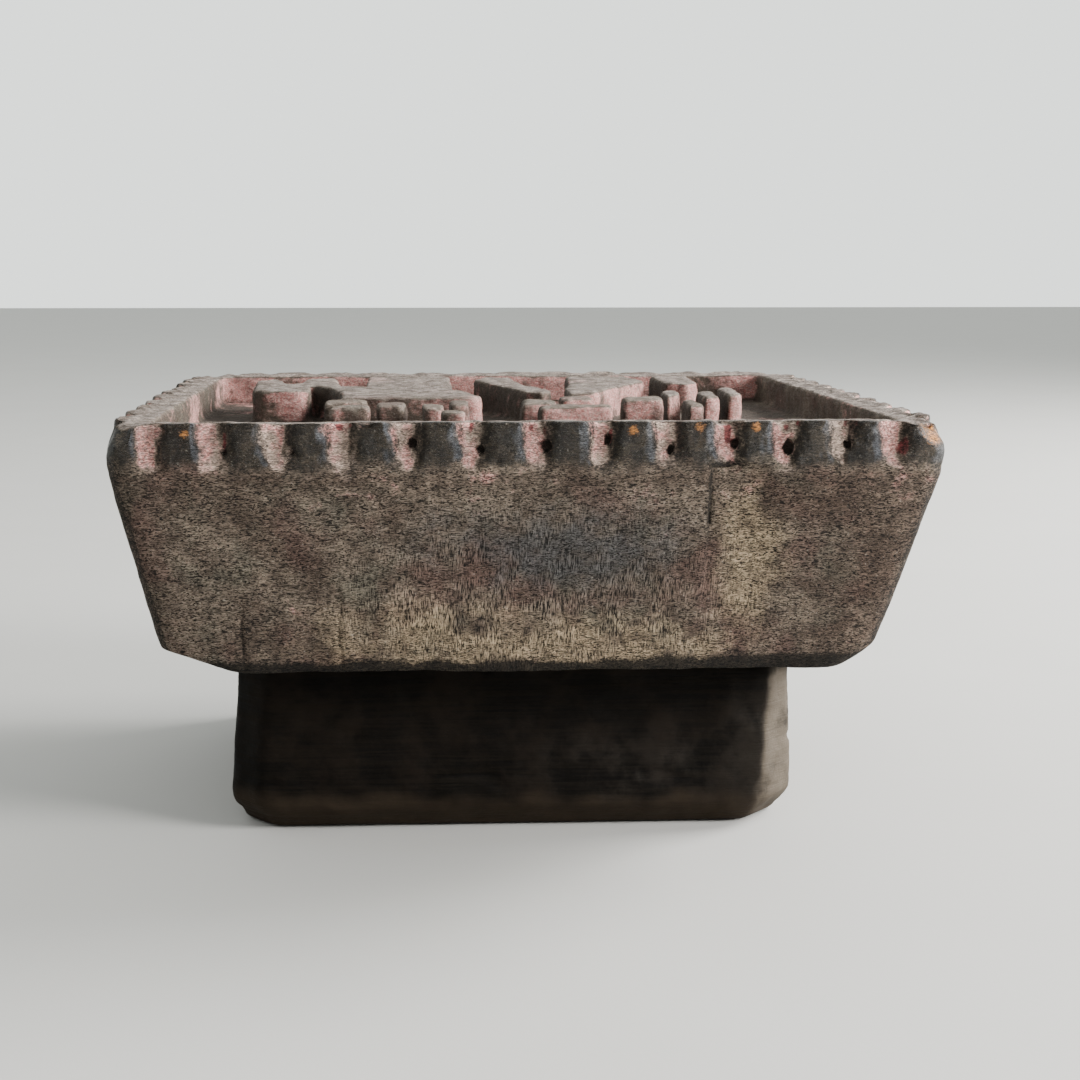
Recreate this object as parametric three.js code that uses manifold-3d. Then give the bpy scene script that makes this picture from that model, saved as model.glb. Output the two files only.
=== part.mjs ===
// Carved wooden headrest: a tapered upper block with a fluted rim and a relief in its top,
// standing on a smaller foot block and held to it by four wooden pegs.
// Millimetres, +Z up, X along the wide front. The origin is the middle of the base.

import * as THREE from "three";
import { mergeVertices } from "three/addons/utils/BufferGeometryUtils.js";
import Module from "manifold-3d";

const wasm = await Module();
wasm.setup();

// Overall
const RIM_WIDTH = 160;
const RIM_DEPTH = 143;
const HEIGHT = 88;
const FIT_GAP = 0.3; // clearance between pieces that touch

// Upper block
const RIM_HEIGHT = 8.5; // the upright band round the top
const BLOCK_CORNER_RADIUS = 6;
const LEFT_TAPER = 7.1; // how far the left face leans in on its way down
const RIGHT_TAPER = 8.4;
const FRONT_TAPER = 14.5; // how far the front and back faces lean in
const UNDERSIDE_RISE = 4.8; // the underside climbs this much out to the side faces
const UNDERSIDE_LEFT = -59.3; // where the climb starts on the left
const UNDERSIDE_RIGHT = 65; // and on the right

// Recess and relief in the top
const RIM_WALL = 8.5;
const RECESS_DEPTH = 7.6;
const RECESS_CORNER_RADIUS = 3;
const RELIEF_CORNER_RADIUS = 1.4;

// Flutes round the rim: cuts of a round gouge, stopped with a rounded end
const FLUTE_RADIUS = 3.2;
const FLUTE_DEPTH = 2.7; // at the top edge
const FLUTE_TILT = THREE.MathUtils.degToRad(5);
const FLUTE_HEIGHT = 9.8;
const FRONT_FLUTES = 13;
const FRONT_FLUTE_FIRST = -71.2;
const FRONT_FLUTE_LAST = 68.8;
const FRONT_FLUTE_DRIFT = 3.4; // the front flutes open out right of the middle by up to this
const SIDE_FLUTES = 11;
const CORNER_LOBE = 8.8; // from a corner to the middle of the first flute elsewhere

// Foot block
const FOOT_HEIGHT = 36.2;
const FOOT_LEFT = -59.3;
const FOOT_RIGHT = 57.1;
const FOOT_DEPTH = 91;
const FOOT_FLARE = 2; // the foot is this much wider on each side above its bottom bevel
const FOOT_BEVEL = 5.5;
const FOOT_BEVEL_INSET = 3.4;
const LEFT_CORNER_CUT = 6.8;
const RIGHT_CORNER_CUT_TOP = 4.8; // the right corners are cut wider towards the ground
const RIGHT_CORNER_CUT_LOW = 8.4;

// Pegs
const PEG_RADIUS = 4;
const PEG_EMBED = 19; // how far a peg reaches into the upper block
const PEG_RECESS = 0.4; // a peg ends this much above the underside of the foot
const PEG_SPREAD_X = 39;
const PEG_SPREAD_Y = 26;
const PEG_SIDES = 24;
const PEG_TIP_CHAMFER = 1;

const seamZ = FOOT_HEIGHT + FIT_GAP;
const rimFootZ = HEIGHT - RIM_HEIGHT;
const floorZ = HEIGHT - RECESS_DEPTH;

// ---- Helpers ----

// A three.js geometry as a manifold solid.
function toSolid(geometry) {
  const bare = geometry.clone();
  bare.deleteAttribute("normal");
  bare.deleteAttribute("uv");
  const welded = mergeVertices(bare, 1e-4);
  return new wasm.Manifold(
    new wasm.Mesh({
      numProp: 3,
      vertProperties: new Float32Array(welded.attributes.position.array),
      triVerts: new Uint32Array(welded.index.array),
    }),
  );
}

// A manifold solid as a three.js geometry with flat shading.
function toGeometry(solid) {
  const mesh = solid.getMesh();
  const shared = new THREE.BufferGeometry();
  shared.setAttribute("position", new THREE.BufferAttribute(mesh.vertProperties, 3));
  shared.setIndex(new THREE.BufferAttribute(mesh.triVerts, 1));
  const flat = shared.toNonIndexed();
  flat.computeVertexNormals();
  return flat;
}

function subtractAll(solid, tools) {
  return tools.reduce((rest, tool) => rest.subtract(tool), solid);
}

// A closed outline through points, each corner rounded by up to radius.
function roundedOutline(points, radius) {
  const shape = new THREE.Shape();
  points.forEach((corner, i) => {
    const before = points[(i + points.length - 1) % points.length];
    const after = points[(i + 1) % points.length];
    const start = towards(corner, before, radius);
    const end = towards(corner, after, radius);
    if (i === 0) {
      shape.moveTo(start.x, start.y);
    } else {
      shape.lineTo(start.x, start.y);
    }
    shape.quadraticCurveTo(corner.x, corner.y, end.x, end.y);
  });
  shape.closePath();
  return shape;
}

function towards(from, to, distance) {
  const reach = Math.min(distance, from.distanceTo(to) * 0.45);
  return from.clone().add(to.clone().sub(from).setLength(reach));
}

function rectangle(left, right, front, back) {
  return [
    new THREE.Vector2(left, front),
    new THREE.Vector2(right, front),
    new THREE.Vector2(right, back),
    new THREE.Vector2(left, back),
  ];
}

// A solid whose level sections are the given rings, which have the same number of points.
function loft(rings) {
  const count = rings[0].points.length;
  const positions = rings.flatMap(({ points, z }) => points.flatMap((p) => [p.x, p.y, z]));
  const index = [];
  for (let level = 0; level < rings.length - 1; level += 1) {
    for (let i = 0; i < count; i += 1) {
      const low = level * count + i;
      const lowNext = level * count + ((i + 1) % count);
      index.push(low, lowNext, lowNext + count);
      index.push(low, lowNext + count, low + count);
    }
  }
  const top = (rings.length - 1) * count;
  for (let i = 1; i < count - 1; i += 1) {
    index.push(0, i + 1, i);
    index.push(top, top + i, top + i + 1);
  }
  const geometry = new THREE.BufferGeometry();
  geometry.setAttribute("position", new THREE.Float32BufferAttribute(positions, 3));
  geometry.setIndex(index);
  return toSolid(geometry);
}

function ring(z, left, right, front, back, cornerRadius) {
  const outline = roundedOutline(rectangle(left, right, front, back), cornerRadius);
  return { z, points: outline.getPoints(5) };
}

// An upright prism of a shape from bottom to top.
function prism(shape, bottom, top) {
  const options = { depth: top - bottom, bevelEnabled: false, curveSegments: 4 };
  return toSolid(new THREE.ExtrudeGeometry(shape, options).translate(0, 0, bottom));
}

// ---- Upper block ----

// The outer form: upright rim, tapered faces and an underside that climbs to the side faces.
function blockForm() {
  const halfWidth = RIM_WIDTH / 2;
  const halfDepth = RIM_DEPTH / 2;
  const shoulderZ = seamZ + UNDERSIDE_RISE;
  const shoulderShare = (rimFootZ - shoulderZ) / (rimFootZ - seamZ);
  const level = (z, left, right, depth) =>
    ring(z, left, right, -depth, depth, BLOCK_CORNER_RADIUS);
  return loft([
    level(seamZ, UNDERSIDE_LEFT, UNDERSIDE_RIGHT, halfDepth - FRONT_TAPER),
    level(
      shoulderZ,
      LEFT_TAPER - halfWidth,
      halfWidth - RIGHT_TAPER,
      halfDepth - FRONT_TAPER * shoulderShare,
    ),
    level(rimFootZ, -halfWidth, halfWidth, halfDepth),
    level(HEIGHT, -halfWidth, halfWidth, halfDepth),
  ]);
}

// The cutter for one flute in the front face of the rim.
function flute(x) {
  const cutter = new THREE.CapsuleGeometry(FLUTE_RADIUS, FLUTE_HEIGHT, 6, 18);
  cutter.rotateX(Math.PI / 2);
  cutter.translate(0, 0, FLUTE_RADIUS - FLUTE_HEIGHT / 2);
  cutter.rotateX(-FLUTE_TILT);
  cutter.translate(x, FLUTE_DEPTH - FLUTE_RADIUS - RIM_DEPTH / 2, HEIGHT);
  return toSolid(cutter);
}

// Places at even steps from first to last.
function spaced(first, last, count) {
  const step = (last - first) / (count - 1);
  return Array.from({ length: count }, (_, i) => first + i * step);
}

function frontFlutes() {
  const even = spaced(FRONT_FLUTE_FIRST, FRONT_FLUTE_LAST, FRONT_FLUTES);
  return even.map((x, i) => {
    const along = i / (FRONT_FLUTES - 1);
    return flute(x + FRONT_FLUTE_DRIFT * Math.sin(Math.PI * along ** 2));
  });
}

function flutes() {
  const backReach = RIM_WIDTH / 2 - CORNER_LOBE;
  const sideReach = RIM_DEPTH / 2 - CORNER_LOBE;
  const back = spaced(-backReach, backReach, FRONT_FLUTES);
  const sides = spaced(-sideReach, sideReach, SIDE_FLUTES);
  const sideShift = (RIM_WIDTH - RIM_DEPTH) / 2;
  return [
    ...frontFlutes(),
    ...back.map((x) => flute(x).rotate([0, 0, 180])),
    ...sides.map((x) => flute(x).translate([0, -sideShift, 0]).rotate([0, 0, 90])),
    ...sides.map((x) => flute(x).translate([0, -sideShift, 0]).rotate([0, 0, -90])),
  ];
}

// Relief islands, drawn in X and in distance back from the front edge of the rim.
const island = (...corners) =>
  roundedOutline(
    corners.map(([x, back]) => new THREE.Vector2(x, back - RIM_DEPTH / 2)),
    RELIEF_CORNER_RADIUS,
  );

const tongue = island(
  [-59.5, 82],
  [-56.5, 78],
  [-48.5, 78],
  [-45.5, 81],
  [-46, 92],
  [-52, 105],
  [-56, 118],
  [-61, 112],
);

const leaf = island([-6.5, 113], [4.5, 75], [8, 72], [11, 77], [6, 96], [4, 120], [-3, 124]);

const leftPlateau = island(
  [-50, 100],
  [-41.5, 88],
  [-38, 70],
  [-38, 56],
  [-8, 56],
  [-6, 60],
  [-8, 72],
  [-12, 84],
  [-12, 125],
  [-33, 125],
  [-33, 92],
  [-38.5, 92],
  [-41, 120],
  [-49, 118],
);

const rightPlateau = island(
  [13.5, 68],
  [20, 70.5],
  [28, 90],
  [37, 107],
  [34, 124],
  [18, 124],
  [16.5, 100],
  [14, 84],
);

const leftSteps = [
  island([-41, 43], [-31.5, 46], [-31.5, 54], [-40.5, 54]),
  island([-39.5, 32], [-30.5, 34], [-31, 41.5], [-39, 40]),
  island([-29.5, 36], [-23.5, 37], [-23, 46], [-29.5, 46]),
  island([-20, 31], [-15.5, 31], [-15.5, 40], [-20, 40]),
  island([-16.5, 21], [-11.5, 21], [-11.5, 28.5], [-16.5, 28.5]),
  island([-14, 39.5], [-10, 42], [-10, 50], [-14, 50]),
];

const rightSteps = [
  island([1, 41], [9, 44], [9, 52], [1.5, 52]),
  island([4, 31.5], [20, 36.5], [20.5, 42], [10.5, 42], [4, 38.5]),
  island([10.5, 51], [18, 54], [18, 62], [10.5, 62]),
  island([23.5, 49], [33, 52], [33.5, 60], [24, 58]),
  island([40.5, 101], [46, 98], [50, 104], [50, 125], [40, 125]),
];

const stalks = [
  island([35, 60], [39, 66], [39, 76], [35, 72]),
  island([35.5, 36], [39.5, 38], [40, 52], [36.5, 52]),
  island([42.5, 56], [46.5, 58], [47.5, 74], [43, 70]),
  island([49, 62], [53, 65], [54, 84], [50, 82]),
];

const relief = [tongue, leaf, leftPlateau, rightPlateau, ...leftSteps, ...rightSteps, ...stalks];

// The space that is carved away inside the rim, round the islands.
function recess() {
  const halfWidth = RIM_WIDTH / 2 - RIM_WALL;
  const halfDepth = RIM_DEPTH / 2 - RIM_WALL;
  const corners = rectangle(-halfWidth, halfWidth, -halfDepth, halfDepth);
  const pocket = prism(roundedOutline(corners, RECESS_CORNER_RADIUS), floorZ, HEIGHT + 5);
  return subtractAll(
    pocket,
    relief.map((outline) => prism(outline, floorZ - 1, HEIGHT)),
  );
}

function upperBlock() {
  return subtractAll(blockForm(), [recess(), ...flutes(), ...pegSpots.map(pegHole)]);
}

// ---- Foot block ----

function footBlock() {
  const form = loft([
    footLevel(0, FOOT_FLARE - FOOT_BEVEL_INSET, RIGHT_CORNER_CUT_LOW),
    footLevel(FOOT_BEVEL, FOOT_FLARE, RIGHT_CORNER_CUT_LOW),
    footLevel(FOOT_HEIGHT, 0, RIGHT_CORNER_CUT_TOP),
  ]);
  return subtractAll(form, pegSpots.map(pegHole));
}

// A level section of the foot, grown outwards by an amount, with its corners cut off.
function footLevel(z, grow, rightCut) {
  const left = FOOT_LEFT - grow;
  const right = FOOT_RIGHT + grow;
  const half = FOOT_DEPTH / 2 + grow;
  const corners = [
    [left + LEFT_CORNER_CUT, -half],
    [right - rightCut, -half],
    [right, rightCut - half],
    [right, half - rightCut],
    [right - rightCut, half],
    [left + LEFT_CORNER_CUT, half],
    [left, half - LEFT_CORNER_CUT],
    [left, LEFT_CORNER_CUT - half],
  ];
  return { z, points: corners.map(([x, y]) => new THREE.Vector2(x, y)) };
}

// ---- Pegs ----

const footMiddle = (FOOT_LEFT + FOOT_RIGHT) / 2;
const pegSpots = [
  { name: "peg_front_left", x: footMiddle - PEG_SPREAD_X, y: -PEG_SPREAD_Y },
  { name: "peg_front_right", x: footMiddle + PEG_SPREAD_X, y: -PEG_SPREAD_Y },
  { name: "peg_back_left", x: footMiddle - PEG_SPREAD_X, y: PEG_SPREAD_Y },
  { name: "peg_back_right", x: footMiddle + PEG_SPREAD_X, y: PEG_SPREAD_Y },
];
const pegTop = seamZ + PEG_EMBED;

// A turned body on a peg's axis, through (radius, height) points that start and end on it.
function turned(profile, { x, y }) {
  const points = profile.map(([radius, z]) => new THREE.Vector2(radius, z));
  return new THREE.LatheGeometry(points, PEG_SIDES).rotateX(Math.PI / 2).translate(x, y, 0);
}

function peg(spot) {
  return turned(
    [
      [0, PEG_RECESS],
      [PEG_RADIUS, PEG_RECESS],
      [PEG_RADIUS, pegTop - PEG_TIP_CHAMFER],
      [PEG_RADIUS - PEG_TIP_CHAMFER, pegTop],
      [0, pegTop],
    ],
    spot,
  );
}

// The hole for a peg, open under the foot and blind in the upper block.
function pegHole(spot) {
  const radius = PEG_RADIUS + FIT_GAP;
  const top = pegTop + FIT_GAP;
  return toSolid(
    turned(
      [
        [0, -1],
        [radius, -1],
        [radius, top],
        [0, top],
      ],
      spot,
    ),
  );
}

// ---- Assembly ----

function wood(color, roughness) {
  return new THREE.MeshStandardMaterial({ color, roughness, metalness: 0 });
}

function piece(name, geometry, material) {
  const mesh = new THREE.Mesh(geometry, material);
  mesh.name = name;
  return mesh;
}

const headrest = new THREE.Group();
headrest.name = "headrest";
headrest.add(piece("upper_block", toGeometry(upperBlock()), wood(0x5e5149, 0.85)));
headrest.add(piece("foot_block", toGeometry(footBlock()), wood(0x2a211d, 0.8)));
pegSpots.forEach((spot) => {
  headrest.add(piece(spot.name, peg(spot), wood(0x4a372a, 0.85)));
});

export default headrest;
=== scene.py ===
"""Carved wooden headrest: an old tapered block with a fluted rim and a relief in its top, on a
dark foot block. Metres, +Z up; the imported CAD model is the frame."""

import math

import bmesh
import bpy
import numpy as np
from mathutils import Matrix, Vector


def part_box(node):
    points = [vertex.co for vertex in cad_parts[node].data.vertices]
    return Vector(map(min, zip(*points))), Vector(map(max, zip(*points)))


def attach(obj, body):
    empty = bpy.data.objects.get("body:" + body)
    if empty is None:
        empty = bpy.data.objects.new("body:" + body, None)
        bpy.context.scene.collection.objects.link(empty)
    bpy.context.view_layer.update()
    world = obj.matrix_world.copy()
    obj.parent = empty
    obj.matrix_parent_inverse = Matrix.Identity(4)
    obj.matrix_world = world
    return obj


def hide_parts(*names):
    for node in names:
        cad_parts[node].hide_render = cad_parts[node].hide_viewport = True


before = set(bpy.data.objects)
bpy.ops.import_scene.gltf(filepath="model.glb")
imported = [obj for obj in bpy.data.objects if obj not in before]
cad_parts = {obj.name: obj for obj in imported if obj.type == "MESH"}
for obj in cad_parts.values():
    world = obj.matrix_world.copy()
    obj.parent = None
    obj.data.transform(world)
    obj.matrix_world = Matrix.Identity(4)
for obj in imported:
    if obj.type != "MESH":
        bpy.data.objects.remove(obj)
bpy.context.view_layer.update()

MM = 0.001

# ---- Places, worked out from the frame ----

BLOCK_LOW, BLOCK_HIGH = (np.array(corner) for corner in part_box("upper_block"))
FOOT_LOW, FOOT_HIGH = (np.array(corner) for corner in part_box("foot_block"))
PEGS = [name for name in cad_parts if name.startswith("peg_")]
TOP = BLOCK_HIGH[2]
FRONT = BLOCK_LOW[1]

RIM_HEIGHT = 8.5 * MM  # the upright band round the top
RIM_WALL = 8.5 * MM
FLUTE_HEIGHT = 9.8 * MM
FLUTE_DEPTH = 2.7 * MM
FRONT_LEAN = 0.335  # how far the front face leans in, for each unit down from the rim

# ---- How fine the meshes are, and how many rounds of wear they get ----

BLOCK_VOXEL = 0.5 * MM
PEG_VOXEL = 0.4 * MM
BLOCK_WEAR = 22
LOBE_WEAR = 60
FOOT_WEAR = 50
PEG_WEAR = 4
PEG_FLATS = 9
PIT_DEPTH = 1.3 * MM


# ---- Noise ----


def gradient_noise(points, cell, seed):
    """Smooth noise from about -1 to 1 at points, with the given cell size or sizes."""
    rng = np.random.default_rng(seed)
    shuffle = np.tile(rng.permutation(256), 2)
    gradients = rng.normal(size=(256, 3))
    gradients /= np.linalg.norm(gradients, axis=1)[:, None]
    p = points / cell
    base = np.floor(p).astype(int)
    part = p - base
    ease = part**3 * (part * (part * 6 - 15) + 10)
    total = np.zeros(len(points))
    for corner in np.ndindex(2, 2, 2):
        x, y, z = ((base + corner) & 255).T
        slope = gradients[shuffle[shuffle[shuffle[x] + y] + z]]
        share = np.prod(np.where(corner, ease, 1 - ease), axis=1)
        total += share * np.sum(slope * (part - corner), axis=1)
    return total * 1.6


def layered_noise(points, cell, seed, layers=3):
    cell = np.asarray(cell, float)
    return sum(
        gradient_noise(points, cell / 2**i, seed + i) / 2**i for i in range(layers)
    )


def ramp(value, low, high):
    """0 at low, 1 at high, smooth between; low may be above high."""
    t = np.clip((value - low) / (high - low), 0, 1)
    return t * t * (3 - 2 * t)


def spot(points, centre, reach):
    """1 at centre, fading to 0 over reach along each axis."""
    away = (points - np.array(centre)) / np.array(reach)
    return ramp(np.linalg.norm(away, axis=1), 1, 0)


# ---- Meshes ----


def solid_copy(node, name, voxel):
    """A new object with a CAD node's shape in even quads, which can be worn and cut."""
    bm = bmesh.new()
    bm.from_mesh(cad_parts[node].data)
    bmesh.ops.remove_doubles(bm, verts=bm.verts, dist=1e-6)
    mesh = bpy.data.meshes.new(name)
    bm.to_mesh(mesh)
    bm.free()
    obj = bpy.data.objects.new(name, mesh)
    bpy.context.scene.collection.objects.link(obj)
    remesh = obj.modifiers.new("even", "REMESH")
    remesh.mode = "VOXEL"
    remesh.voxel_size = voxel
    graph = bpy.context.evaluated_depsgraph_get()
    even = bpy.data.meshes.new_from_object(obj.evaluated_get(graph))
    obj.modifiers.clear()
    obj.data = even
    even.name = name
    even.materials.clear()
    even.shade_smooth()
    bpy.data.meshes.remove(mesh)
    return obj


class Shape:
    """A mesh's points as arrays, for wear and cuts made in bulk."""

    def __init__(self, obj):
        self.mesh = obj.data
        count = len(self.mesh.vertices)
        self.points = self._read(self.mesh.vertices, "co", (count, 3))
        self.edges = self._read(self.mesh.edges, "vertices", (len(self.mesh.edges), 2), int)
        self.links = np.bincount(self.edges.ravel(), minlength=count)

    @staticmethod
    def _read(items, name, shape, kind=float):
        flat = np.zeros(shape[0] * shape[1], np.int32 if kind is int else np.float32)
        items.foreach_get(name, flat)
        return flat.reshape(shape).astype(kind)

    def normals(self):
        self.write()
        return self._read(self.mesh.vertex_normals, "vector", self.points.shape)

    def spread(self, values, rounds):
        """Values averaged with those of neighbouring points, again and again."""
        a, b = self.edges.T
        values = np.array(values, float)
        flat = values.reshape(len(values), -1)
        for _ in range(rounds):
            for column in flat.T:
                total = np.bincount(a, column[b], len(column))
                total += np.bincount(b, column[a], len(column))
                column += 0.5 * (total / self.links - column)
        return values

    def write(self):
        self.mesh.vertices.foreach_set("co", self.points.astype(np.float32).ravel())
        self.mesh.update()

    def mask(self, name, values):
        layer = self.mesh.attributes.new(name, "FLOAT", "POINT")
        layer.data.foreach_set("value", np.clip(values, 0, 1).astype(np.float32))


def wear_edges(shape, rounds, convex, concave):
    """Rounds the edges: outer ones by the share convex, inner ones by concave."""
    target = shape.spread(shape.points, rounds)
    normals = shape.normals()
    sharp = np.sum((shape.points - target) * normals, axis=1)
    share = np.where(sharp > 0, convex, concave)
    shape.points += (target - shape.points) * share[:, None]


# ---- Upper block ----

# Marks on the front face, in millimetres: X, distance down from the top, then size.
PITS = [(-57.3, 5.6, 0.7), (-44.8, 5.7, 0.7), (-22.1, 4.0, 1.0), (-9.4, 5.3, 0.9), (3.1, 4.8, 1.2),
        (14.6, 3.7, 0.9), (26.5, 5.5, 0.8), (38.6, 4.4, 1.0), (48.9, 5.2, 1.4), (60.3, 4.7, 0.9)]
# X, how far down it starts and ends, and how deep it is cut.
CRACKS = [(-55.6, 35.0, 52.0, 0.28), (-36.5, 31.0, 52.0, 0.22), (34.3, 8.0, 21.0, 0.45)]
# X, distance down and radius, where the dark skin is rubbed off the lobes.
BARE_SPOTS = [(-64.4, 2.1, 1.2), (19.1, 1.7, 1.4), (31.7, 1.2, 1.3), (42.3, 1.2, 1.3)]


def on_front(x, down, depth=0.0):
    """The place on the front face at this X and this far below the top."""
    lean = max(0.0, down * MM - RIM_HEIGHT) * FRONT_LEAN
    return (x * MM, FRONT + lean + depth, TOP - down * MM)


def outer_distance(points):
    """How far inside the rim's outer faces a point is."""
    reach = BLOCK_HIGH[:2] - np.abs(points[:, :2])
    return reach.min(axis=1)


def near_pegs(points):
    """1 in and round the peg holes, which keep their shape for the pegs."""
    found = np.zeros(len(points))
    for name in PEGS:
        low, high = (np.array(corner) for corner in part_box(name))
        away = np.linalg.norm(points[:, :2] - ((low + high) / 2)[:2], axis=1)
        found = np.maximum(found, ramp(away, 6.5 * MM, 5 * MM) * (points[:, 2] < high[2] + 2 * MM))
    return found


class Zones:
    """Parts of the upper block as shares from 0 to 1 at each point."""

    def __init__(self, points, normals):
        self.down = TOP - points[:, 2]
        self.inside = outer_distance(points)
        self.corner = np.linalg.norm(BLOCK_HIGH[:2] - np.abs(points[:, :2]), axis=1)
        self.recess = ramp(self.inside, RIM_WALL - 1.5 * MM, RIM_WALL - 0.2 * MM)
        self.recess *= ramp(self.down, 14 * MM, 10 * MM)
        self.front = ramp(points[:, 1], FRONT + 19 * MM, FRONT + 16.5 * MM)
        self.front *= ramp(-normals[:, 1], 0.1, 0.5) * (1 - self.recess)
        self.band = ramp(self.down, FLUTE_HEIGHT + 1 * MM, FLUTE_HEIGHT - 1 * MM)
        self.band *= ramp(self.inside, 6 * MM, 4.5 * MM)
        self.up = ramp(normals[:, 2], 0.5, 0.85)


def round_block(shape, p, zones, rough, free):
    """Handling has rounded the edges, the lobes between the flutes and the rim's corners."""
    down = zones.down
    rim_edge = zones.front * ramp(down, 2.4 * MM, 1.2 * MM) * ramp(zones.inside, 3 * MM, 2 * MM)
    convex = np.clip(0.65 + 0.4 * rough - 0.35 * rim_edge + 0.3 * zones.recess, 0.25, 1.0) * free
    concave = np.where(zones.recess > 0.5, 0.45, 0.25) * free
    wear_edges(shape, BLOCK_WEAR, convex, concave)
    # The lobes between the flutes are rounded like knuckles
    along_side = ramp(np.abs(p[:, 0]), BLOCK_HIGH[0] - 6 * MM, BLOCK_HIGH[0] - 4 * MM)
    round_lobes = zones.band * np.maximum(ramp(down, -0.6 * MM, 1.8 * MM), along_side)
    rounded = shape.spread(shape.points, LOBE_WEAR) - shape.points
    shape.points[:, :2] += 0.95 * round_lobes[:, None] * rounded[:, :2]
    # The rim's top slopes down a little to the inside
    rim_top = ramp(down, 2 * MM, 0.5 * MM) * ramp(zones.inside, 11 * MM, 9.5 * MM)
    shape.points[:, 2] -= rim_top * ramp(zones.inside, 1.5 * MM, 7 * MM) * 0.55 * MM

    # The rim's four top corners are rubbed down
    shape.points[:, 2] -= 1.5 * MM * ramp(zones.corner, 11 * MM, 1 * MM) * ramp(down, 7 * MM, 0)
    rubbed_in = 1.4 * MM * ramp(zones.corner, 8 * MM, 2 * MM) * ramp(down, 4.5 * MM, 0)
    shape.points[:, :2] -= np.sign(p[:, :2]) * rubbed_in[:, None]


def cut_cracks(p, zones):
    """How open each point is to a crack, and how deep the cracks cut there."""
    cracks = np.zeros(len(p))
    cut = np.zeros(len(p))
    for x, top, bottom, depth in CRACKS:
        wander = x * MM + 0.6 * MM * gradient_noise(p, (1, 1, 6 * MM), 61)
        line = ramp(np.abs(p[:, 0] - wander), (0.3 + depth) * MM, 0.1 * MM)
        run = ramp(zones.down, top * MM, (top + 3) * MM)
        run *= ramp(zones.down, (bottom + 1) * MM, (bottom - 1) * MM)
        cracks = np.maximum(cracks, zones.front * line * run * (depth / 0.5))
        cut += zones.front * line * run * depth * MM
    return cracks, cut


def cut_pits(p):
    """How far each point lies in a pit, and how deep the pits are there."""
    pits = np.zeros(len(p))
    cut = np.zeros(len(p))
    ragged = layered_noise(p, 1.3 * MM, 66, 2)
    for x, drop, radius in PITS:
        hit = spot(p, on_front(x, drop, FLUTE_DEPTH), (1.4 * radius * MM, 4 * MM, 1.9 * radius * MM))
        hit = ramp(hit + 0.22 * ragged, 0.2, 0.6) * (hit > 0)
        pits = np.maximum(pits, hit)
        cut += hit * PIT_DEPTH
    return pits, cut


def carved_block():
    obj = solid_copy("upper_block", "carved_block", BLOCK_VOXEL)
    shape = Shape(obj)
    p = shape.points.copy()
    free = 1 - near_pegs(p)
    zones = Zones(p, shape.normals())
    down = zones.down
    rough = layered_noise(p, 9 * MM, 3)
    round_block(shape, p, zones, rough, free)

    normals = shape.normals()
    push = 0.30 * MM * layered_noise(p, 26 * MM, 11)
    push += 0.13 * MM * layered_noise(p, (5 * MM, 5 * MM, 7 * MM), 21)
    push += zones.band * 0.30 * MM * layered_noise(p, 3.6 * MM, 31, 2)
    push += zones.recess * 0.20 * MM * layered_noise(p, 3 * MM, 41, 2)
    push += zones.front * 0.07 * MM * gradient_noise(p, (1.6 * MM, 9 * MM, 10 * MM), 45)

    # Chips out of the rim's edge
    edge = ramp(down, 3.5 * MM, 1 * MM) * ramp(zones.inside, 5 * MM, 3 * MM)
    chip = ramp(gradient_noise(p, 4.5 * MM, 51), 0.42, 0.75)
    push -= edge * chip * 0.8 * MM

    # The sunken patch right of the step on the front face, and its ledge
    right_of_step = ramp(p[:, 0], 34.0 * MM, 34.8 * MM) * ramp(p[:, 0], 54 * MM, 40 * MM)
    below_ledge = ramp(down + 0.6 * MM * rough, 8.2 * MM, 9.2 * MM) * ramp(down, 46 * MM, 20 * MM)
    push -= zones.front * right_of_step * below_ledge * 0.9 * MM

    cracks, crack_cut = cut_cracks(p, zones)
    pits, pit_cut = cut_pits(p)
    push -= crack_cut + pit_cut
    push *= free
    shape.points += normals * push[:, None]

    # Inside the CAD solid's own box, which keeps it clear of the foot
    shape.points = np.clip(shape.points, BLOCK_LOW, BLOCK_HIGH)
    shape.write()

    paint_block(shape, cracks, pits)
    return obj


class Surface(Zones):
    """The zones of the finished block, with the noises that its masks share."""

    def __init__(self, shape):
        super().__init__(shape.points, shape.normals())
        self.p = shape.points
        self.normals = shape.normals()
        self.patchy = layered_noise(self.p, 8 * MM, 71)
        self.fine = layered_noise(self.p, 2.4 * MM, 81)
        self.broad = layered_noise(self.p, 22 * MM, 91)
        self.proud = np.sum((self.p - shape.spread(self.p, 24)) * self.normals, axis=1)
        self.at_corner = ramp(self.corner, 7.5 * MM, 5.5 * MM)
        self.beside_step = self.front * ramp(self.p[:, 0], 33.2 * MM, 34.4 * MM)
        self.beside_step *= ramp(self.p[:, 0], 50 * MM, 42 * MM)
        # Front faces turned to the left, away from the lamps; the masks below darken them as painted
        # shade.
        self.left_facing_shade = self.front * ramp(-self.normals[:, 0], 0.12, 0.5)
        self.under_flutes = self.front * ramp(self.down, 19 * MM, 10 * MM) * (1 - self.band)
        self.near_front = self.recess * ramp(self.p[:, 1], FRONT + 72 * MM, FRONT + 52 * MM)
        self.flat_top = ramp(self.normals[:, 2], 0.75, 0.95) * ramp(self.down, 3 * MM, 1.2 * MM)


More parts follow.
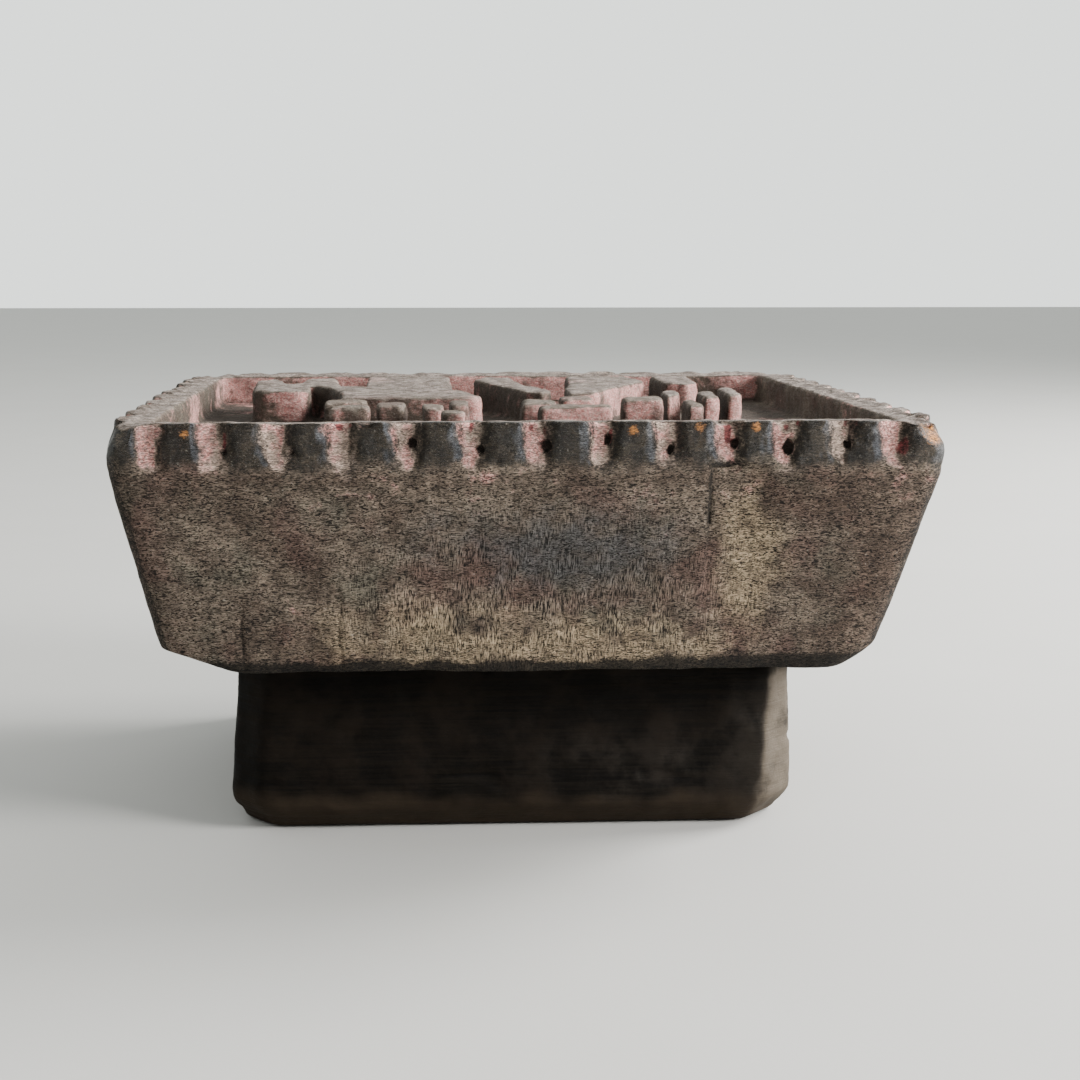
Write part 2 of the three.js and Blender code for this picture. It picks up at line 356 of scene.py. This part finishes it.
def find_flutes(at):
    """The dark lobes round the rim, and the pale hollows between them."""
    flute_end = at.down + 1.5 * MM * at.patchy + 0.9 * MM * at.fine
    in_band = ramp(at.inside, 6 * MM, 4.5 * MM)
    hollow = ramp(at.inside + 0.2 * MM * at.fine, 0.3 * MM, 1.5 * MM) * (1 - at.up)
    hollow *= (1 - at.at_corner) * in_band * ramp(flute_end, 11.5 * MM, 8.5 * MM)
    hollow *= 1 - at.beside_step * ramp(at.down, 7.8 * MM, 8.6 * MM)
    lobe = in_band * ramp(at.inside + 0.2 * MM * at.fine, 1.7 * MM, 0.5 * MM)
    lobe = np.maximum(lobe, at.at_corner * (1 - at.up))
    lobe *= ramp(flute_end, 10.2 * MM, 6.4 * MM)
    return lobe, hollow


def find_pigment(at, hollow):
    """Pink left in the hollows and the recess, and smeared a little on the front face; more on walls
    that face the lamps, as painted light, and less on the front's left-facing sides, as painted
    shade.
    """
    wall = at.recess * (1 - at.up)
    # Recess walls facing front and right, toward the lamps, get more pink: painted light. The
    # front's left-facing sides get less: painted shade.
    facing = np.clip(0.4 - 0.6 * at.normals[:, 1] + 0.3 * at.normals[:, 0], 0, 1)
    to_right = ramp(at.p[:, 0], -70 * MM, 50 * MM)
    pink = hollow * (1 - at.left_facing_shade) * np.clip(0.75 + 0.8 * at.patchy + 0.5 * at.fine, 0, 1)
    on_wall = 0.65 + 0.3 * to_right + 0.6 * at.broad + 0.3 * at.patchy
    pink += wall * facing * np.clip(on_wall, 0, 1)
    pink += 0.8 * at.up * at.recess * np.clip(0.15 + 0.9 * at.broad + 0.15 * at.patchy, 0, 1)
    pink *= 1 - 0.6 * at.near_front * ramp(at.p[:, 0], -5 * MM, -20 * MM)
    pink += wall * spot(at.p, (-49 * MM, FRONT + 78 * MM, TOP - 3 * MM), (9 * MM, 5 * MM, 9 * MM))
    smear = spot(at.p, on_front(-32, 14), (9 * MM, 9 * MM, 1.3 * MM))
    smear += spot(at.p, on_front(31.5, 9.3), (4 * MM, 9 * MM, 1.3 * MM))
    return pink + 0.45 * smear + 0.3 * at.under_flutes * np.clip(0.5 + at.patchy, 0, 1)


def paint_rim_and_recess(shape, at, pits):
    lobe, hollow = find_flutes(at)
    shape.mask("lobe", lobe * np.clip(1.05 + 0.35 * at.patchy, 0, 1))
    # Painted sheen: bluish grey on the lobes' sides that face the lamps, in patches.
    to_light = ramp(at.normals[:, 0], 0.02, 0.5)
    shape.mask("lobe_sheen", lobe * np.clip(to_light + 0.3 * at.patchy, 0, 1))
    # Pale hollows, less so on their left-facing sides: painted shade.
    shape.mask("hollow", hollow * (1 - 0.7 * at.left_facing_shade))
    shape.mask("pink_and_light", find_pigment(at, hollow))
    streak = ramp(gradient_noise(at.p, (2 * MM, 2 * MM, 5 * MM), 77), 0.4, 0.7)
    # Deep red: streaks in the hollows, and painted shade in the pits and on the hollows' left-facing
    # sides.
    shape.mask("red", pits * 0.4 + hollow * streak + 0.45 * hollow * at.left_facing_shade)

    shape.mask("worn_top", at.flat_top * (1 - 0.6 * at.near_front))
    # Painted shade: recess walls that face away from the lamps are darker brown, less so near the
    # right wall.
    facing_right = ramp(at.normals[:, 0], 0.2, 0.7)
    to_front = ramp(-at.normals[:, 1], 0.4, 0.8)
    recess_shade = at.recess * (1 - 0.5 * facing_right - 0.4 * to_front) * (1 - at.flat_top)
    shape.mask("recess_shade", recess_shade * (1 - 0.6 * ramp(at.p[:, 0], 66 * MM, 70 * MM)))
    calm = [0.3 * lobe, 0.45 * hollow, 0.7 * at.recess, 0.55 * at.flat_top]
    shape.mask("calm", np.maximum.reduce(calm))

    bare = np.zeros(len(at.p))
    for x, drop, radius in BARE_SPOTS:
        bare = np.maximum(bare, spot(at.p, on_front(x, drop), (radius * 1.5 * MM,) * 3))
    right_corner = (77.2 * MM, FRONT + 2 * MM, TOP - 2 * MM)
    corner_spot = spot(at.p, right_corner, (5.5 * MM, 6 * MM, 5 * MM))
    shape.mask("bare", np.maximum(bare, 1.6 * corner_spot))


def paint_stains(shape, at):
    """Broad patches of colour on the front face."""
    p, front, patchy = at.p, at.front, at.patchy
    tan = spot(p, on_front(-16, 46), (46 * MM, 20 * MM, 16 * MM))
    tan += spot(p, on_front(22, 47), (30 * MM, 20 * MM, 12 * MM))
    right_of_step = ramp(p[:, 0], 34 * MM, 35.5 * MM)
    tan += spot(p, on_front(43, 28), (11 * MM, 20 * MM, 26 * MM)) * right_of_step
    shape.mask("tan", front * tan * 1.5 * np.clip(0.8 + 0.5 * patchy, 0, 1))
    stain = spot(p, on_front(9, 26), (36 * MM, 24 * MM, 17 * MM))
    stain += 0.5 * spot(p, on_front(-20, 22), (16 * MM, 20 * MM, 10 * MM))
    stain += 0.5 * spot(p, on_front(-30, 43), (9 * MM, 20 * MM, 7 * MM))
    shape.mask("stain", front * stain * 1.3 * np.clip(0.8 + 0.6 * patchy, 0, 1))
    dull = spot(p, on_front(70, 36), (26 * MM, 30 * MM, 34 * MM))
    dull += 0.6 * spot(p, on_front(62, 15), (26 * MM, 30 * MM, 12 * MM)) + 0.5 * at.under_flutes
    shape.mask("dull", front * dull)
    sawn = spot(p, on_front(4, 36), (62 * MM, 30 * MM, 30 * MM))
    shape.mask("sawn", front * sawn * 1.6)


def paint_wear_and_shade(shape, at, cracks, pits):
    """Rubbed high places, grimy low ones, and painted shade along the edges, in the cracks and pits
    and under the ledge.
    """
    shape.mask("proud", ramp(at.proud, 0.12 * MM, 0.45 * MM) * (1 - at.band))
    shape.mask("deep", ramp(at.proud, -0.10 * MM, -0.5 * MM) * (1 - 0.8 * at.band))
    shape.mask("side", ramp(np.abs(at.normals[:, 0]), 0.55, 0.85))
    # Painted shade along the rounded bottom lip and the front's side edges, where the surface turns
    # away from the lamps.
    lip = at.p[:, 2] - 1.4 * MM * ramp(at.p[:, 0], 15 * MM, 60 * MM) + 0.8 * MM * at.patchy
    low = ramp(lip, BLOCK_LOW[2] + 3.6 * MM, BLOCK_LOW[2] + 1.2 * MM)
    side_edge = at.front * ramp(np.abs(at.normals[:, 0]), 0.35, 0.6)
    # Painted shadow under the ledge beside the step.
    ledge = ramp(np.abs(at.down - 8.3 * MM + 0.4 * MM * at.fine), 1.1 * MM, 0.3 * MM)
    ledge *= at.beside_step * ramp(at.p[:, 0], 46 * MM, 37 * MM)
    # Painted shade, which also darkens the cracks and pits.
    shape.mask("painted_shade", np.maximum.reduce([low, 0.6 * side_edge, cracks, pits, 0.8 * ledge]))


def paint_block(shape, cracks, pits):
    """Where pigment, bare wood, painted shade and painted sheen lie, as values on the mesh's points.
    """
    at = Surface(shape)
    paint_rim_and_recess(shape, at, pits)
    paint_stains(shape, at)
    paint_wear_and_shade(shape, at, cracks, pits)


# ---- Foot block ----


def worn_foot():
    obj = solid_copy("foot_block", "worn_foot", BLOCK_VOXEL)
    shape = Shape(obj)
    p = shape.points.copy()
    free = 1 - near_pegs(p)
    seam = ramp(FOOT_HIGH[2] - p[:, 2], 0.4 * MM, 1.6 * MM)
    ground = ramp(p[:, 2], 0.4 * MM, 1.6 * MM)
    wear_edges(shape, FOOT_WEAR, free * 0.9, free * 0.5)
    normals = shape.normals()
    push = 0.45 * MM * layered_noise(p, 24 * MM, 103)
    push += 0.08 * MM * layered_noise(p, (22 * MM, 22 * MM, 2.6 * MM), 113, 2)
    push += 0.25 * MM * layered_noise(p, 8 * MM, 118, 2)
    push -= 0.5 * MM * ramp(gradient_noise(p, (14 * MM, 14 * MM, 5 * MM), 123), 0.45, 0.8)
    push *= free * seam * ground
    shape.points += normals * push[:, None]
    shape.points = np.clip(shape.points, FOOT_LOW, FOOT_HIGH)
    shape.write()

    normals = shape.normals()
    p = shape.points
    patchy = layered_noise(p, 12 * MM, 133)
    # Faces turned to the right are paler: dust, and painted light on the side that faces the lamps.
    facing_right = ramp(normals[:, 0] + 0.16 * patchy, 0.15, 0.55)
    shape.mask("dust_and_lit_side", facing_right * np.clip(0.9 + 0.4 * patchy, 0, 1))
    edge = shape.points - shape.spread(shape.points, 20)
    sharp = np.sum(edge * normals, axis=1)
    # Lighter towards the bottom, where the overhang's shade thins: painted light, kept in the rubbed
    # mask with the rubbed edges.
    low = 0.75 * ramp(p[:, 2] + 2 * MM * patchy, 12 * MM, 4 * MM)
    rubbed = ramp(sharp, 0.05 * MM, 0.3 * MM) * np.clip(0.6 + patchy, 0, 1)
    shape.mask("rubbed", np.maximum(rubbed, low))
    # Painted sheen: paler patches low on the front, right of the middle, which are also glossier.
    sheen = spot(p, (26 * MM, FOOT_LOW[1], 13 * MM), (40 * MM, 10 * MM, 12 * MM))
    sheen += spot(p, (52 * MM, FOOT_LOW[1], 20 * MM), (13 * MM, 10 * MM, 24 * MM))
    shape.mask("sheen", sheen * np.clip(0.8 + 0.8 * patchy, 0, 1))
    return obj


# ---- Pegs ----


def whittled_peg(node):
    """A peg with the flats that a knife leaves, in the place of the round CAD peg."""
    obj = solid_copy(node, "whittled_" + node, PEG_VOXEL)
    shape = Shape(obj)
    low, high = (np.array(corner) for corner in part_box(node))
    middle = (low + high) / 2
    out = shape.points[:, :2] - middle[:2]
    radius = np.linalg.norm(out, axis=1)
    turn = np.arctan2(out[:, 1], out[:, 0])
    step = 2 * math.pi / PEG_FLATS
    off_middle = np.abs((turn + middle[0] * 40) % step - step / 2)
    full = high[0] - middle[0]
    limit = full * math.cos(step / 2) / np.cos(off_middle)
    keep = np.minimum(1, limit / np.maximum(radius, 1e-6))
    shape.points[:, :2] = middle[:2] + out * np.maximum(keep, 0.9)[:, None]
    wear_edges(shape, PEG_WEAR, 0.8, 0.3)
    shape.write()
    return obj


# ---- Materials ----


class Nodes:
    """Short calls for building one material's node tree."""

    def __init__(self, name):
        self.material = bpy.data.materials.new(name)
        self.material.use_nodes = True
        self.tree = self.material.node_tree
        self.shader = self.tree.nodes["Principled BSDF"]
        self.where = self.new("ShaderNodeTexCoord").outputs["Object"]

    def new(self, kind, **settings):
        node = self.tree.nodes.new(kind)
        for name, value in settings.items():
            setattr(node, name, value)
        return node

    def link(self, source, socket):
        if isinstance(source, (int, float)):
            socket.default_value = source
        elif isinstance(source, tuple):
            socket.default_value = (*source, 1)[: len(socket.default_value)]
        else:
            self.tree.links.new(source, socket)

    def mask(self, name):
        return self.new("ShaderNodeAttribute", attribute_name=name).outputs["Fac"]

    def noise(self, size, detail=3.0, rough=0.55, warp=0.0):
        """Noise with features of the given size in metres, or sizes along X, Y and Z."""
        sizes = (size,) * 3 if isinstance(size, float) else size
        stretch = self.new("ShaderNodeMapping")
        stretch.inputs["Scale"].default_value = [1 / s for s in sizes]
        self.link(self.where, stretch.inputs["Vector"])
        node = self.new("ShaderNodeTexNoise")
        node.inputs["Scale"].default_value = 1
        node.inputs["Detail"].default_value = detail
        node.inputs["Roughness"].default_value = rough
        node.inputs["Distortion"].default_value = warp
        self.link(stretch.outputs["Vector"], node.inputs["Vector"])
        return node.outputs["Fac"]

    def steps(self, value, low, high, out_low=0.0, out_high=1.0):
        node = self.new("ShaderNodeMapRange", interpolation_type="SMOOTHSTEP")
        node.inputs["From Min"].default_value = low
        node.inputs["From Max"].default_value = high
        node.inputs["To Min"].default_value = out_low
        node.inputs["To Max"].default_value = out_high
        self.link(value, node.inputs["Value"])
        return node.outputs["Result"]

    def math(self, operation, a, b):
        node = self.new("ShaderNodeMath", operation=operation, use_clamp=False)
        self.link(a, node.inputs[0])
        self.link(b, node.inputs[1])
        return node.outputs["Value"]

    def blend(self, share, a, b, mode="MIX"):
        node = self.new("ShaderNodeMix", data_type="RGBA", blend_type=mode)
        sockets = [s for s in node.inputs if s.type == "RGBA"]
        self.link(share, node.inputs[0])
        self.link(a, sockets[0])
        self.link(b, sockets[1])
        return [s for s in node.outputs if s.type == "RGBA"][0]

    def mix(self, share, a, b):
        node = self.new("ShaderNodeMix", data_type="FLOAT")
        self.link(share, node.inputs[0])
        self.link(a, node.inputs[2])
        self.link(b, node.inputs[3])
        return node.outputs[0]

    def bump(self, height, depth, below=None):
        node = self.new("ShaderNodeBump")
        node.inputs["Distance"].default_value = depth
        self.link(height, node.inputs["Height"])
        if below:
            self.link(below, node.inputs["Normal"])
        return node.outputs["Normal"]

    def finish(self, colour, rough, normal):
        self.link(colour, self.shader.inputs["Base Color"])
        self.link(rough, self.shader.inputs["Roughness"])
        self.link(normal, self.shader.inputs["Normal"])
        return self.material


# Colours of the upper block, linear
DARK_BROWN = (0.078, 0.057, 0.043)
WORN_BROWN = (0.152, 0.120, 0.092)
REDDISH = (0.092, 0.050, 0.042)
MOSSY = (0.088, 0.090, 0.068)
TAN = (0.262, 0.200, 0.128)
SLATE = (0.043, 0.044, 0.046)
DULL_BROWN = (0.062, 0.038, 0.028)
PINK = (0.47, 0.200, 0.180)
PALE_PINK = (0.60, 0.37, 0.33)
SHADED_BROWN = (0.050, 0.036, 0.029)
CHALKY = (0.44, 0.335, 0.275)
DEEP_RED = (0.17, 0.028, 0.032)
GREY_BROWN = (0.105, 0.080, 0.067)
PALE_GREY_BROWN = (0.25, 0.212, 0.187)
PITCH_BLACK = (0.005, 0.004, 0.002)
TARRY = (0.020, 0.015, 0.009)
SCRATCHED = (0.080, 0.066, 0.052)
SHEEN_BLUISH = (0.070, 0.078, 0.090)
RUBBED_PALE = (0.36, 0.31, 0.26)
GRIMY = (0.028, 0.021, 0.017)
GLINT_PALE = (0.46, 0.41, 0.35)
BARE_ORANGE = (0.37, 0.155, 0.042)
SHADE_BLACK = (0.009, 0.007, 0.005)


def carved_wood():
    n = Nodes("carved_wood")
    short_x = n.noise((1.4 * MM, 0.9 * MM, 0.34 * MM), 4, 0.6, 2.2)
    short_y = n.noise((0.9 * MM, 1.4 * MM, 0.34 * MM), 4, 0.6, 2.2)
    strands = n.mix(n.mask("side"), short_x, short_y)
    saw = n.noise((0.22 * MM, 0.6 * MM, 2.6 * MM), 3, 0.6, 0.6)
    saw_share = n.math("MULTIPLY", n.mask("sawn"), n.steps(n.noise(5 * MM, 3), 0.40, 0.60, 0.1, 0.8))
    fibre = n.mix(saw_share, strands, saw)
    grit = n.noise(0.5 * MM, 3, 0.6)
    cloud = n.noise(11 * MM, 5, 0.65, 0.4)
    blotch = n.noise(3.5 * MM, 4, 0.65)
    ragged = n.math("MULTIPLY", n.math("SUBTRACT", n.mix(0.5, cloud, blotch), 0.5), 3.2)
    fray = n.math("MULTIPLY", n.math("SUBTRACT", grit, 0.5), 1.5)

    def patch(mask, low, high, most=1.0):
        return n.steps(n.math("ADD", n.mask(mask), ragged), low, high, 0.0, most)

    def speckled(mask, low, high, most=1.0):
        return n.steps(n.math("ADD", n.mask(mask), fray), low, high, 0.0, most)

    colour = n.blend(n.steps(cloud, 0.36, 0.66), DARK_BROWN, WORN_BROWN)
    colour = n.blend(n.steps(n.noise(16 * MM, 3), 0.5, 0.66, 0, 0.55), colour, REDDISH)
    colour = n.blend(n.steps(n.noise(13 * MM, 4), 0.52, 0.68, 0, 0.45), colour, MOSSY)
    colour = n.blend(patch("tan", 0.0, 1.4, 0.85), colour, TAN)
    colour = n.blend(patch("stain", 0.05, 1.2, 0.85), colour, SLATE)
    colour = n.blend(n.steps(n.mask("dull"), 0.1, 0.9, 0, 0.5), colour, DULL_BROWN)
    pinks = n.blend(n.steps(grit, 0.4, 0.6), PINK, PALE_PINK)
    # Painted shade: darker brown on recess walls that face away from the lamps.
    colour = n.blend(n.steps(n.mask("recess_shade"), 0.2, 0.9, 0, 0.7), colour, SHADED_BROWN)
    # Pale hollows, dimmer on their left-facing sides as painted shade.
    colour = n.blend(n.steps(n.mask("hollow"), 0.2, 0.8, 0, 0.9), colour, CHALKY)
    # Pink, with more on walls that face the lamps: painted light.
    colour = n.blend(patch("pink_and_light", 0.3, 0.95, 0.85), colour, pinks)
    # Deep red, partly painted shade in the pits and on left-facing sides.
    colour = n.blend(patch("red", 0.5, 1.0, 0.85), colour, DEEP_RED)
    top_tone = n.blend(n.steps(blotch, 0.36, 0.64), GREY_BROWN, PALE_GREY_BROWN)
    colour = n.blend(n.steps(n.mask("worn_top"), 0.1, 0.9, 0, 0.8), colour, top_tone)
    lobe_tone = n.blend(n.steps(blotch, 0.4, 0.6), PITCH_BLACK, TARRY)
    lobe_tone = n.blend(n.steps(grit, 0.52, 0.66, 0, 0.45), lobe_tone, SCRATCHED)
    # Painted sheen on the lobes' sides that face the lamps.
    lobe_tone = n.blend(n.steps(n.mask("lobe_sheen"), 0.15, 1.15), lobe_tone, SHEEN_BLUISH)
    colour = n.blend(speckled("lobe", 0.0, 1.05, 0.95), colour, lobe_tone)
    colour = n.blend(n.steps(n.mask("proud"), 0.3, 1.0, 0, 0.35), colour, RUBBED_PALE)
    colour = n.blend(n.steps(n.mask("deep"), 0.2, 1.0, 0, 0.6), colour, GRIMY)
    # Small pale specks: painted glints.
    colour = n.blend(n.steps(grit, 0.62, 0.72, 0, 0.35), colour, GLINT_PALE)
    colour = n.blend(speckled("bare", 0.35, 0.9), colour, BARE_ORANGE)
    # Painted shade at the bottom lip, the side edges, the cracks, the pits and under the ledge.
    colour = n.blend(speckled("painted_shade", 0.05, 0.85, 0.95), colour, SHADE_BLACK)

    # The strands' light and dark, multiplied into the colour, is partly the wood's grain and partly
    # painted small highlights and shadows.
    weathered = n.steps(blotch, 0.35, 0.65, 0.8, 1.22)
    tint = n.math("MULTIPLY", n.steps(fibre, 0.42, 0.595, 0.05, 2.4), weathered)
    shade = n.new("ShaderNodeCombineColor")
    for channel in shade.inputs:
        n.link(tint, channel)
    weave = n.math("SUBTRACT", 1.0, n.mask("calm"))
    colour = n.blend(weave, colour, n.blend(1.0, colour, shade.outputs["Color"], "MULTIPLY"))

    n.shader.inputs["Specular IOR Level"].default_value = 0.25
    rough = n.mix(n.mask("lobe"), 0.9, 0.38)
    normal = n.bump(blotch, 0.9 * MM)
    normal = n.bump(fibre, 0.9 * MM, normal)
    normal = n.bump(grit, 0.25 * MM, normal)
    return n.finish(colour, rough, normal)


def dark_wood():
    n = Nodes("dark_wood")
    grain = n.noise((26 * MM, 26 * MM, 0.7 * MM), 4, 0.6, 0.5)
    cloud = n.noise(10 * MM, 4, 0.6)
    pore = n.noise((2.2 * MM, 2.2 * MM, 0.3 * MM), 3, 0.6)
    colour = n.blend(n.steps(grain, 0.36, 0.66), (0.0016, 0.0012, 0.0008), (0.0055, 0.0042, 0.0028))
    colour = n.blend(n.steps(cloud, 0.42, 0.68, 0, 0.5), colour, (0.013, 0.009, 0.006))
    # Rubbed edges, and painted light on the lower part.
    colour = n.blend(n.steps(n.mask("rubbed"), 0.2, 0.9, 0, 0.5), colour, (0.045, 0.032, 0.021))
    # Dust and painted light on the faces turned to the right.
    dust_and_light = n.math("MULTIPLY", n.mask("dust_and_lit_side"), n.steps(cloud, 0.36, 0.56, 0.25, 0.9))
    # Painted sheen on the front's lower right.
    painted_sheen = n.math("MULTIPLY", n.mask("sheen"), n.steps(cloud, 0.4, 0.6, 0.0, 0.7))
    colour = n.blend(painted_sheen, colour, (0.019, 0.016, 0.013))
    colour = n.blend(dust_and_light, colour, (0.095, 0.078, 0.060))
    n.shader.inputs["Specular IOR Level"].default_value = 0.08
    rough = n.mix(n.mask("sheen"), n.steps(grain, 0.3, 0.7, 0.62, 0.8), 0.5)
    normal = n.bump(grain, 0.15 * MM)
    normal = n.bump(cloud, 0.5 * MM, normal)
    normal = n.bump(pore, 0.10 * MM, normal)
    return n.finish(colour, rough, normal)


def peg_wood():
    n = Nodes("peg_wood")
    pores = n.noise((0.45 * MM, 0.45 * MM, 4 * MM), 3, 0.6)
    cloud = n.noise(3 * MM, 3)
    colour = n.blend(n.steps(pores, 0.35, 0.65), (0.035, 0.021, 0.013), (0.10, 0.062, 0.038))
    colour = n.blend(n.steps(cloud, 0.4, 0.7, 0, 0.5), colour, (0.05, 0.036, 0.027))
    return n.finish(colour, 0.85, n.bump(pores, 0.2 * MM))


# ---- Stage ----


def floor_material():
    n = Nodes("pale_floor")
    colour = n.blend(n.noise(60 * MM, 2), (0.42, 0.415, 0.40), (0.45, 0.445, 0.43))
    return n.finish(colour, 0.8, n.bump(n.noise(1.5 * MM, 2), 0.02 * MM))


def floor():
    half = 4.0
    mesh = bpy.data.meshes.new("floor")
    corners = [(-half, -half, 0), (half, -half, 0), (half, half, 0), (-half, half, 0)]
    mesh.from_pydata(corners, [], [(0, 1, 2, 3)])
    mesh.materials.append(floor_material())
    obj = bpy.data.objects.new("floor", mesh)
    bpy.context.scene.collection.objects.link(obj)


def lamp(name, location, size, power, colour):
    """A soft square lamp that faces the object."""
    data = bpy.data.lights.new(name, "AREA")
    data.size = size
    data.energy = power
    data.color = colour
    obj = bpy.data.objects.new(name, data)
    bpy.context.scene.collection.objects.link(obj)
    obj.location = location
    aim = Vector((0, 0, TOP * 0.6)) - obj.location
    obj.rotation_euler = aim.to_track_quat("-Z", "Y").to_euler()


def lights():
    """Soft light from the right at a low slant, and a pale wall's light from behind."""
    lamp("window", (1.0, 0.32, 0.62), 0.5, 40, (1.0, 0.985, 0.96))
    lamp("side", (1.0, -0.42, 0.50), 0.4, 30, (1.0, 0.985, 0.96))
    lamp("room", (-0.4, -1.0, 0.9), 1.0, 4, (1.0, 0.99, 0.98))
    world = bpy.data.worlds.new("room_light")
    bpy.context.scene.world = world
    world.use_nodes = True
    nodes, links = world.node_tree.nodes, world.node_tree.links
    direction = nodes.new("ShaderNodeTexCoord")
    split = nodes.new("ShaderNodeSeparateXYZ")
    strength = nodes.new("ShaderNodeMapRange")
    for name, value in (("From Min", -0.6), ("From Max", 0.7), ("To Min", 0.4), ("To Max", 1.9)):
        strength.inputs[name].default_value = value
    links.new(direction.outputs["Generated"], split.inputs["Vector"])
    links.new(split.outputs["Y"], strength.inputs["Value"])
    background = nodes["Background"]
    background.inputs["Color"].default_value = (0.93, 0.97, 0.94, 1)
    links.new(strength.outputs["Result"], background.inputs["Strength"])


SENSOR_WIDTH = 36  # these two in millimetres, as Blender takes them
FOCAL_LENGTH = 54.6
SHIFT_X = 0.059
CAMERA_YAW = math.radians(2.48)
CAMERA_PITCH = math.radians(9.61)
CAMERA_X = -23.5 * MM
CAMERA_AWAY = 303.7 * MM  # in front of the rim
CAMERA_OVER = 29.2 * MM  # above the top


def camera():
    """The photograph's view: low and close in front, a little left of the middle."""
    data = bpy.data.cameras.new("camera")
    data.sensor_width = SENSOR_WIDTH
    data.lens = FOCAL_LENGTH
    data.shift_x = SHIFT_X
    data.clip_start = 0.01
    obj = bpy.data.objects.new("camera", data)
    bpy.context.scene.collection.objects.link(obj)
    yaw, pitch = CAMERA_YAW, CAMERA_PITCH
    ahead = math.cos(pitch)
    forward = Vector((math.sin(yaw) * ahead, math.cos(yaw) * ahead, -math.sin(pitch)))
    right = Vector((math.cos(yaw), -math.sin(yaw), 0))
    turn = Matrix((right, right.cross(forward), -forward)).transposed()
    eye = Vector((CAMERA_X, FRONT - CAMERA_AWAY, TOP + CAMERA_OVER))
    obj.matrix_world = Matrix.Translation(eye) @ turn.to_4x4()
    bpy.context.scene.camera = obj


# ---- Assembly ----


def place(obj, material, node):
    obj.data.materials.append(material)
    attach(obj, "root")
    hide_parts(node)


camera()
floor()
lights()
place(carved_block(), carved_wood(), "upper_block")
place(worn_foot(), dark_wood(), "foot_block")
peg_material = peg_wood()
for peg in PEGS:
    place(whittled_peg(peg), peg_material, peg)
